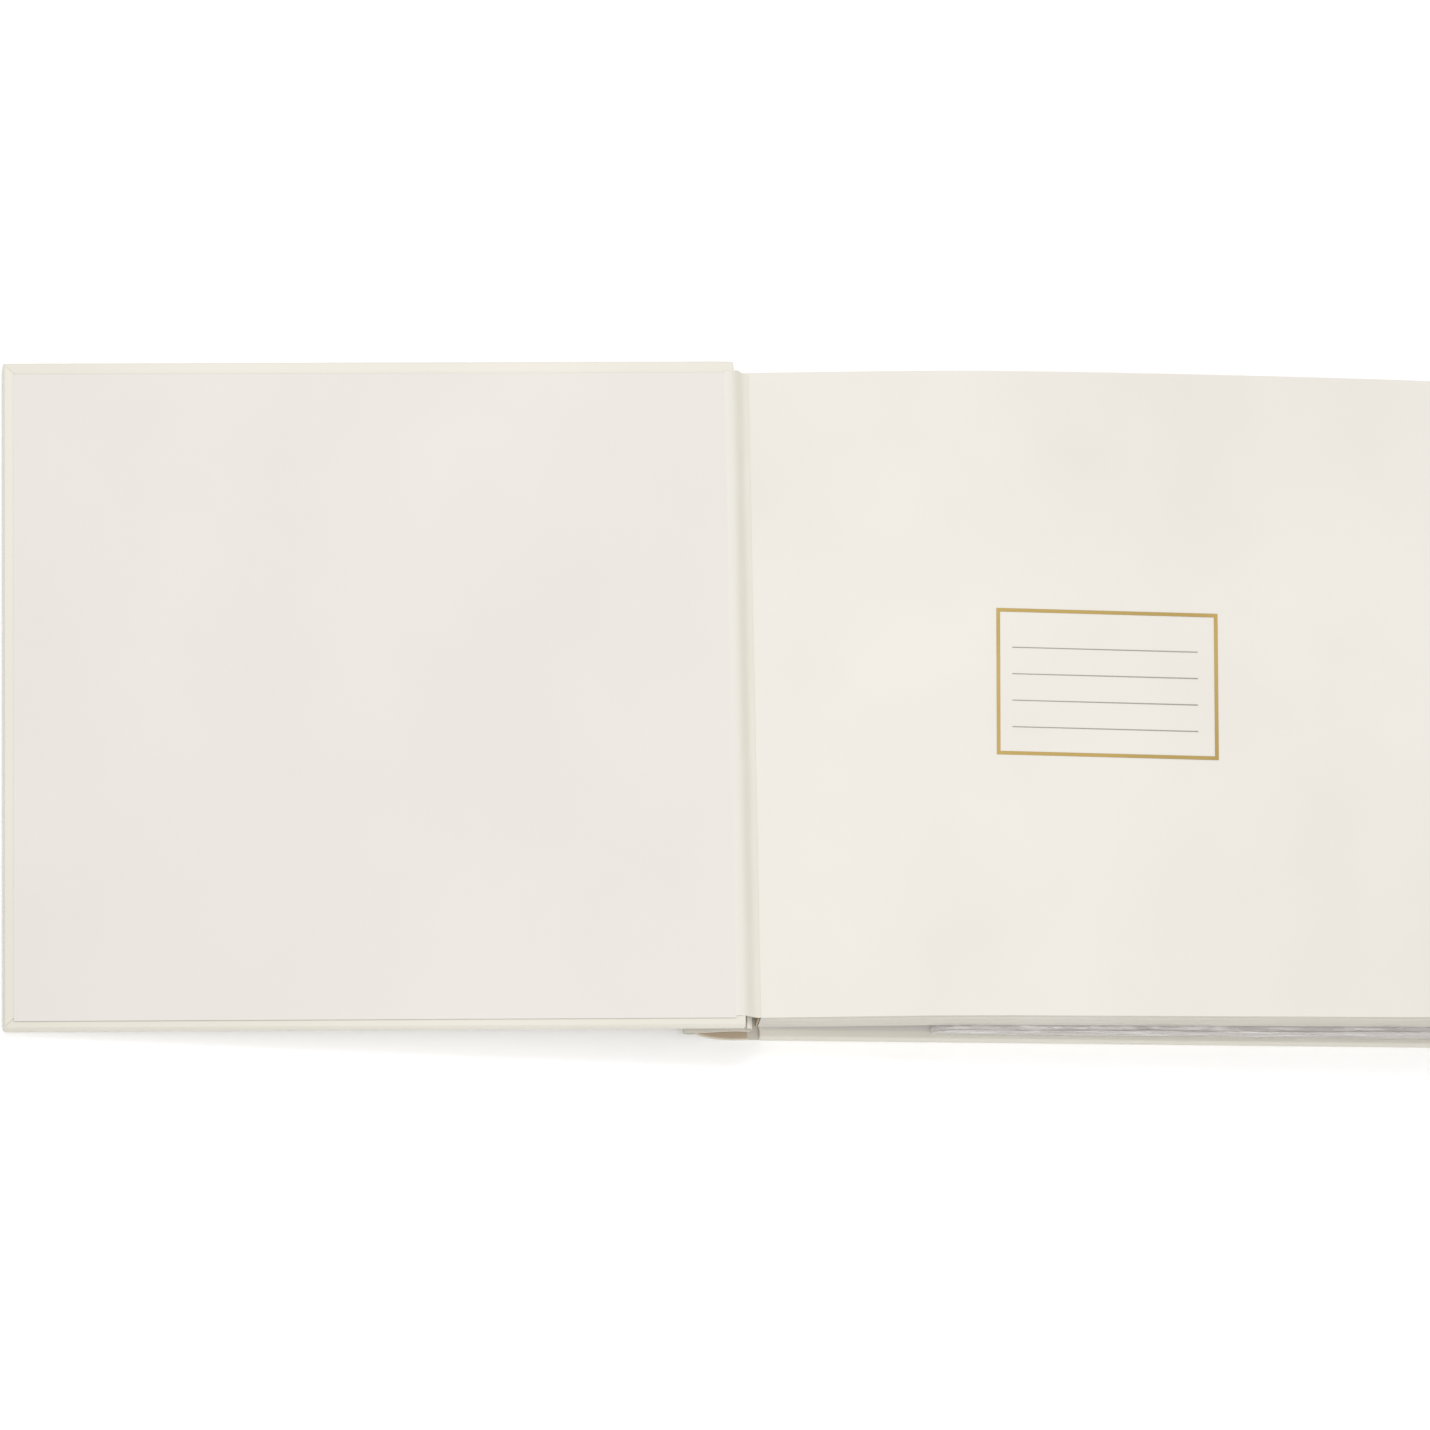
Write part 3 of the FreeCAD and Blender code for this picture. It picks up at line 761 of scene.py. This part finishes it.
@dataclass
class LooseLeaves:
    """The two leaves that turn at the joint: the second leaf and the flyleaf with the label."""

    width: float = 221.0
    thick: float = 0.2
    cuts: tuple[int, int] = (96, 48)
    crowding: float = 1.35
    bend_start: float = -113.2
    bend_end: float = -106.5

    def build_leaf(self, shop: Workshop, name: str, node: str, wave: float, ripple: float) -> None:
        """Make one loose leaf.

        Args:
            shop: the workshop.
            name: the name of the piece.
            node: the CAD node that it replaces; its name is also given as the piece's body.
            wave: a number that picks its unevenness.
            ripple: how uneven it is, in millimetres.
        """
        base = box_mm(node)[0].z
        low, high = LEAF_SPAN

        def place(across: float, along: float) -> Vector:
            """Return a point on the underside of the leaf."""
            x = CURVE.spine_edge + self.width * across ** self.crowding
            y = low + along * (high - low)
            free = ease(across * 2.0)
            lift = ripple * free * noise.noise(Vector((x * 0.016, y * 0.012, wave)))
            return Vector((x, y, base + CURVE.at(x, y) + lift))

        bm = bmesh.new()
        lay_sheet(bm, self.cuts, place, Vector((0.0, 0.0, self.thick)))
        piece = shop.finish(bm, PieceCard(name, node, "page_paper", (node,)))
        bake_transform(piece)

    def build(self, shop: Workshop) -> None:
        """Make both leaves."""
        self.build_leaf(shop, "second_leaf_sheet", "second_leaf", 5.0, 0.04)
        self.build_leaf(shop, "flyleaf_sheet", "flyleaf", 9.0, 0.05)


@dataclass
class WritingLabel:
    """The gold rectangle with four writing lines, lying on the flyleaf."""

    line: float = 1.15
    lift: float = 0.24
    foil: float = 0.05
    base: float = 13.66
    skew: float = -1.2
    thinner: float = 0.13
    short_of: float = 1.4
    long_bar: float = 5.0

    def point(self, x: float, y: float) -> Vector:
        """Return a point just above the flyleaf, turned slightly about the label's middle."""
        low, high = box_mm("label_frame")
        middle = (low + high) / 2
        turn = math.radians(self.skew)
        out = Vector((x - middle.x, y - middle.y))
        at_x = middle.x + out.x * math.cos(turn) - out.y * math.sin(turn)
        at_y = middle.y + out.x * math.sin(turn) + out.y * math.cos(turn)
        return Vector((at_x, at_y, self.base + self.lift + CURVE.at(at_x, at_y)))

    def bar(self, bm: bmesh.types.BMesh, low: tuple[float, float], high: tuple[float, float]) -> None:
        """Lay one straight bar of foil between two corners, following the page."""
        cuts = (
            28 if high[0] - low[0] > self.long_bar else 2,
            18 if high[1] - low[1] > self.long_bar else 2,
        )

        def place(across: float, along: float) -> Vector:
            """Return a point on the underside of the bar."""
            x = low[0] + across * (high[0] - low[0])
            return self.point(x, low[1] + along * (high[1] - low[1]))

        lay_sheet(bm, cuts, place, Vector((0.0, 0.0, self.foil)))

    def build(self, shop: Workshop) -> None:
        """Make the frame and its four lines."""
        low, high = box_mm("label_frame")
        bm = bmesh.new()
        self.bar(bm, (low.x, low.y), (high.x, low.y + self.line))
        self.bar(bm, (low.x, high.y - self.line), (high.x, high.y))
        self.bar(bm, (low.x, low.y + self.line), (low.x + self.line, high.y - self.line))
        self.bar(bm, (high.x - self.line, low.y + self.line), (high.x, high.y - self.line))
        bmesh.ops.remove_doubles(bm, verts=bm.verts[:], dist=0.001)
        shop.ride(bm, PieceCard("gold_frame", "flyleaf", "gold_foil", ("label_frame",)))
        for number in range(1, 5):
            low, high = box_mm(f"label_rule_{number}")
            bm = bmesh.new()
            end = (high.x - self.short_of, high.y - self.thinner)
            self.bar(bm, (low.x, low.y + self.thinner), end)
            node = f"label_rule_{number}"
            shop.ride(bm, PieceCard(f"writing_line_{number}", "flyleaf", "printed_line", (node,)))


@dataclass
class Gutter:
    """The paper and cloth that join the covers to the block and the spine."""

    cloth: float = 0.42
    fold: float = 0.2
    head_trim: float = 2.0
    rows: int = 72
    soft_angle: float = 60.0
    strip_reach: float = 11.0
    strip_fade: float = 2.5
    fold_lift: float = 0.14

    def ribbon(
        self,
        points: list[tuple[float, float]],
        span: tuple[float, float],
        cuts: int,
        thick: float,
        end_lift: float = 0.0,
    ) -> bmesh.types.BMesh:
        """Make a strip that follows a line of points from tail to head.

        Args:
            points: the x and z of the line.
            span: the y of the tail and head ends.
            cuts: how many divisions it has along the line.
            thick: its thickness.
            end_lift: how much its start is raised near the tail and head, over the covering's strips.

        Returns:
            The shape.
        """
        line = [Vector((x, 0.0, z)) for x, z in points]

        def place(across: float, along: float) -> Vector:
            """Return a point of the strip."""
            spot = through(line, across)
            y = span[0] + along * (span[1] - span[0])
            inside = min(y - span[0], span[1] - y)
            over_strip = 1.0 - ease((inside - self.strip_reach) / self.strip_fade)
            lift = end_lift * over_strip * (1.0 - ease(across * 2.2))
            return Vector((spot.x, y, spot.z + lift))

        bm = bmesh.new()
        made = bmesh.ops.create_grid(bm, x_segments=cuts, y_segments=self.rows, size=0.5)
        for vert in made["verts"]:
            vert.co = place(vert.co.x + 0.5, vert.co.y + 0.5)
        bmesh.ops.solidify(bm, geom=bm.faces[:], thickness=thick)
        return bm

    def build_fold(self, shop: Workshop) -> None:
        """Make the endpaper where it dips from the cover's pastedown to the flyleaf."""
        low, high = box_mm("endpaper_fold")
        points = [
            (-120.7, 15.74),
            (-119.3, 15.80),
            (-118.1, 15.72),
            (-117.0, 15.30),
            (-115.9, 14.55),
            (-114.9, 13.95),
            (-113.9, 13.72),
            (-112.7, 13.74),
        ]
        bm = self.ribbon(points, (low.y + 0.1, high.y - 0.1), 36, self.fold, self.fold_lift)
        # The gutter finish paints shade into the fold's valley.
        card = PieceCard(
            "gutter_fold", "front_cover", "endpaper", ("endpaper_fold",), self.soft_angle, "gutter"
        )
        piece = shop.finish(bm, card)
        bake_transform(piece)

    def build_front_joint(self, shop: Workshop) -> None:
        """Make the covering between the spine strip and the front board, arched up by the open cover."""
        low, high = box_mm("front_joint_cloth")
        high.y -= self.head_trim
        points = [
            (-131.4, 6.7),
            (-133.8, 5.7),
            (-135.9, 6.1),
            (-136.0, 7.5),
            (-133.6, 8.0),
            (-130.0, 7.9),
            (-126.4, 8.6),
            (-122.6, 9.5),
            (-119.4, 9.75),
            (-117.3, 9.45),
            (-116.0, 9.85),
            (-115.45, 11.2),
            (-116.0, 12.5),
            (-117.2, 13.1),
        ]
        bm = self.ribbon(points, (low.y + 0.2, high.y - 0.2), 64, self.cloth)
        card = PieceCard(
            "front_joint_covering", "front_cover", "cover_covering", ("front_joint_cloth",), self.soft_angle
        )
        piece = shop.ride(bm, card)
        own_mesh(piece)

    def build_rear_joint(self, shop: Workshop) -> None:
        """Make the covering between the spine strip and the back board."""
        low, high = box_mm("rear_joint_cloth")
        points = [(-116.4, 0.6), (-115.4, 0.52), (-114.2, 0.48), (-113.0, 0.52), (-112.0, 0.6)]
        bm = self.ribbon(points, (low.y + 0.2, high.y - 0.2), 12, self.cloth)
        card = PieceCard(
            "rear_joint_covering", "back_case", "cover_covering", ("rear_joint_cloth",), self.soft_angle
        )
        piece = shop.finish(bm, card)
        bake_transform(piece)

    def build(self, shop: Workshop) -> None:
        """Make the fold and the two joints."""
        self.build_fold(shop)
        self.build_front_joint(shop)
        self.build_rear_joint(shop)


@dataclass
class SpineStrip:
    """The rounded spine: a card strip inside the covering."""

    centre_x: float = -120.31
    centre_z: float = 16.08
    tip: float = 52.0
    heel: float = 16.0
    steps: int = 26
    covering: tuple[float, float] = (16.0, 15.58)
    strip: tuple[float, float] = (15.55, 14.6)
    rim_angle: float = 50.0

    def arc(
        self, outer: float, inner: float, span: tuple[float, float], rounding: float
    ) -> bmesh.types.BMesh:
        """Spin a strip round the spine's centre.

        Args:
            outer: its outer radius.
            inner: its inner radius.
            span: the y of its tail and head ends.
            rounding: how much its edges are eased.

        Returns:
            The shape.
        """
        bm = bmesh.new()
        start = -math.radians(self.tip)
        sweep = math.radians(self.tip + self.heel)
        corners = []
        for radius, y in ((outer, span[0]), (outer, span[1]), (inner, span[1]), (inner, span[0])):
            spot = (
                self.centre_x + radius * math.sin(start),
                y,
                self.centre_z - radius * math.cos(start),
            )
            corners.append(bm.verts.new(spot))
        face = bmesh.ops.contextual_create(bm, geom=corners)["faces"]
        bmesh.ops.spin(
            bm,
            geom=face + list(face[0].edges) + corners,
            cent=(self.centre_x, 0.0, self.centre_z),
            axis=(0.0, -1.0, 0.0),
            angle=sweep,
            steps=self.steps,
            use_duplicate=False,
        )
        rims = [edge for edge in bm.edges if edge.calc_face_angle(0.0) > math.radians(self.rim_angle)]
        bmesh.ops.bevel(
            bm, geom=rims, offset=rounding, segments=2, profile=0.5, affect="EDGES", material=-1
        )
        return bm

    def build(self, shop: Workshop) -> None:
        """Make the card and the covering of the spine."""
        low, high = box_mm("spine_wrap")
        wrap = self.arc(*self.covering, (low.y, high.y), 0.14)
        shop.ride(wrap, PieceCard("spine_covering", "spine", "cover_covering", ("spine_wrap",)))
        card_low, card_high = box_mm("spine_board")
        card = self.arc(*self.strip, (card_low.y, card_high.y), 0.2)
        shop.ride(card, PieceCard("spine_card_strip", "spine", "greyboard", ("spine_board",)))


@dataclass
class CardBag:
    """The clear bag of cards under the lifted pages, creased along its tail edge."""

    spread: float = 4.5
    puff: float = 2.6
    reach: float = 0.2
    depth: float = 3.05
    floor_gap: float = 0.02
    side_run: float = 6.0
    tail_run: float = 1.1
    head_run: float = 9.0
    crease_run: float = 10.0
    front_run: float = 0.7
    spread_run: float = 30.0
    calm: float = 0.05
    creased: float = 0.34
    cuts_across: int = 70
    cuts_up: int = 7

    def crease(self, x: float, y: float, up: float, crumple: float) -> float:
        """Return how far the film is creased up or down at a place.

        Args:
            x: the place across the book.
            y: the place along it.
            up: its share of the bag's height.
            crumple: how crumpled the corner there is, from 0 to 1.

        Returns:
            The crease, where 1 is a deep one.
        """
        long_fold = noise.noise(Vector((x * 0.10, y * 0.5, up * 2.2)))
        short_fold = noise.noise(Vector((x * 0.45, y * 0.9, up * 5.0)))
        corner = noise.noise(Vector((x * 0.35, y * 0.6, up * 4.0)))
        return long_fold + 0.5 * short_fold + crumple * 1.6 * corner

    def build(self, shop: Workshop) -> None:
        """Make the bag's film as a thin closed skin round the cards."""
        low, high = box_mm("bag_film")
        bm = bmesh.new()
        width = high.x - low.x
        depth = high.y - low.y
        made = bmesh.ops.create_cube(bm, size=1.0)
        edges = {edge for vert in made["verts"] for edge in vert.link_edges}
        long_edges = [edge for edge in edges if abs((edge.verts[0].co - edge.verts[1].co).z) < 0.5]
        bmesh.ops.subdivide_edges(bm, edges=long_edges, cuts=self.cuts_across, use_grid_fill=True)
        upright = [edge for edge in bm.edges if abs((edge.verts[0].co - edge.verts[1].co).z) > 0.5]
        bmesh.ops.subdivide_edges(bm, edges=upright, cuts=self.cuts_up, use_grid_fill=True)
        for vert in bm.verts:
            across, along, up = vert.co.x + 0.5, vert.co.y + 0.5, vert.co.z + 0.5
            x = low.x + across * width
            y = low.y + depth * along ** 1.6
            top = self.depth + CURVE.at(x, y)
            floor = low.z + self.floor_gap
            ends = min(x - low.x, high.x - x) / self.side_run
            closed = ease(ends) ** 0.5
            shut = (ease((y - low.y) / self.tail_run) * ease((high.y - y) / self.head_run)) ** 0.5
            full = (0.10 + 0.90 * closed) * (0.62 + 0.38 * shut)
            near_tail = 1.0 - ease((y - low.y) / self.crease_run)
            crumple = near_tail * (1.0 - ease(ends / 2.4))
            middle = floor + (top - floor) * 0.47
            z = middle + (up - 0.5) * (top - floor) * full
            z += self.crease(x, y, up, crumple) * (self.calm + self.creased * near_tail)
            front = 1.0 - ease((y - low.y) / self.front_run)
            billow = 0.7 + 0.5 * noise.noise(Vector((x * 0.045, 7.0, 1.0)))
            z += self.puff * front * up * closed * billow
            top += self.puff * front
            ripple = 0.5 + 0.5 * noise.noise(Vector((x * 0.07, 2.0, up * 3.0)))
            pull = 0.5 * ripple * near_tail - self.reach * front
            x -= self.spread * near_tail * (1.0 - ease((x - low.x) / self.spread_run))
            vert.co = Vector((x, y + pull, min(max(z, floor), top)))
        shop.ride(bm, PieceCard("bag_skin", "bag", "clear_film", ("bag_film",), 70.0))


@dataclass
class Studio:
    """The pale floor, the soft lights and the camera."""

    distance: float = 4.0
    target: tuple[float, float, float] = (-0.1239, -0.0028, 0.0)
    tilt: float = 18.94
    turn: float = -17.43
    roll: float = -1.06
    lens: float = 328.3
    middle: tuple[float, float, float] = (-0.11, 0.0, 0.0)
    floor_half: float = 3.0
    sky: float = 0.76

    def build_floor(self, finish: PaperFinish) -> None:
        """Lay the plain pale floor."""
        bm = bmesh.new()
        bmesh.ops.create_grid(bm, x_segments=2, y_segments=2, size=self.floor_half)
        mesh = bpy.data.meshes.new("floor")
        bm.to_mesh(mesh)
        bm.free()
        mesh.materials.append(finish.make())
        floor = bpy.data.objects.new("floor", mesh)
        bpy.context.scene.collection.objects.link(floor)

    def build_light(
        self, name: str, place: tuple[float, float, float], size: float, power: float, tint: Colour
    ) -> None:
        """Hang one soft light that faces the middle of the book.

        Args:
            name: the name of the light.
            place: where it hangs, in metres.
            size: the side of its square face.
            power: how strong it is, in watts.
            tint: its colour.
        """
        lamp = bpy.data.lights.new(name, "AREA")
        lamp.shape = "SQUARE"
        lamp.size = size
        lamp.energy = power
        lamp.color = linear(tint)[:3]
        holder = bpy.data.objects.new(name, lamp)
        holder.location = place
        aim = Vector(self.middle) - Vector(place)
        holder.rotation_euler = aim.to_track_quat("-Z", "Y").to_euler()
        bpy.context.scene.collection.objects.link(holder)

    def build_camera(self) -> None:
        """Set the camera high over the tail side, with the head of the book up."""
        lean = math.radians(self.tilt)
        turn = math.radians(self.turn)
        away = Vector((math.sin(lean) * math.sin(turn), -math.sin(lean) * math.cos(turn), math.cos(lean)))
        right = Vector((0.0, 1.0, 0.0)).cross(away).normalized()
        up = away.cross(right)
        roll = math.radians(self.roll)
        right, up = (
            right * math.cos(roll) + up * math.sin(roll),
            up * math.cos(roll) - right * math.sin(roll),
        )
        data = bpy.data.cameras.new("camera")
        data.lens = self.lens
        data.sensor_width = 36.0
        data.clip_end = 20.0
        camera = bpy.data.objects.new("camera", data)
        pose = Matrix((right, up, away)).transposed().to_4x4()
        pose.translation = Vector(self.target) + away * self.distance
        camera.matrix_world = pose
        bpy.context.scene.collection.objects.link(camera)
        bpy.context.scene.camera = camera

    def build(self) -> None:
        """Set up the floor, the lights, the sky and the camera."""
        self.build_floor(PaperFinish("studio floor", (255, 255, 255), (255, 255, 255), fleck=0.0, tooth=0.0))
        world = bpy.data.worlds.new("studio")
        world.use_nodes = True
        sky = world.node_tree.nodes["Background"]
        sky.inputs["Color"].default_value = (1.0, 1.0, 1.0, 1.0)
        sky.inputs["Strength"].default_value = self.sky
        bpy.context.scene.world = world
        self.build_light("key", (-0.05, -0.55, 0.95), 0.6, 3.8, (255, 253, 250))
        self.build_light("back", (-0.25, 0.85, 1.2), 0.7, 9.3, (254, 254, 255))
        self.build_light("front", (-0.05, -1.3, 0.3), 0.5, 0.7, (255, 254, 252))
        bpy.context.scene.view_settings.view_transform = "Standard"
        self.build_camera()


def main() -> None:
    """Build the book from the table up, then the studio round it."""
    logging.basicConfig(level=logging.INFO, format="%(name)s %(message)s")
    finishes = Finishes()
    shop = Workshop(finishes)
    finishes.dress_cad()
    back = HardCover("back", "back_case", Matrix.Identity(4), -1.0)
    lie = Matrix.Translation((-229.93, 0.0, 6.29)) @ Matrix.Rotation(math.radians(-3.195), 4, "Y")
    front = HardCover("front", "front_cover", lie, 1.0, hinge_square=2.8)
    for cover in (back, front):
        cover.build_covering(shop)
        cover.build_pastedown(shop)
    PageBlock().build(shop)
    LooseLeaves().build(shop)
    WritingLabel().build(shop)
    Gutter().build(shop)
    SpineStrip().build(shop)
    CardBag().build(shop)
    Studio().build()


if __name__ == "__main__":
    main()
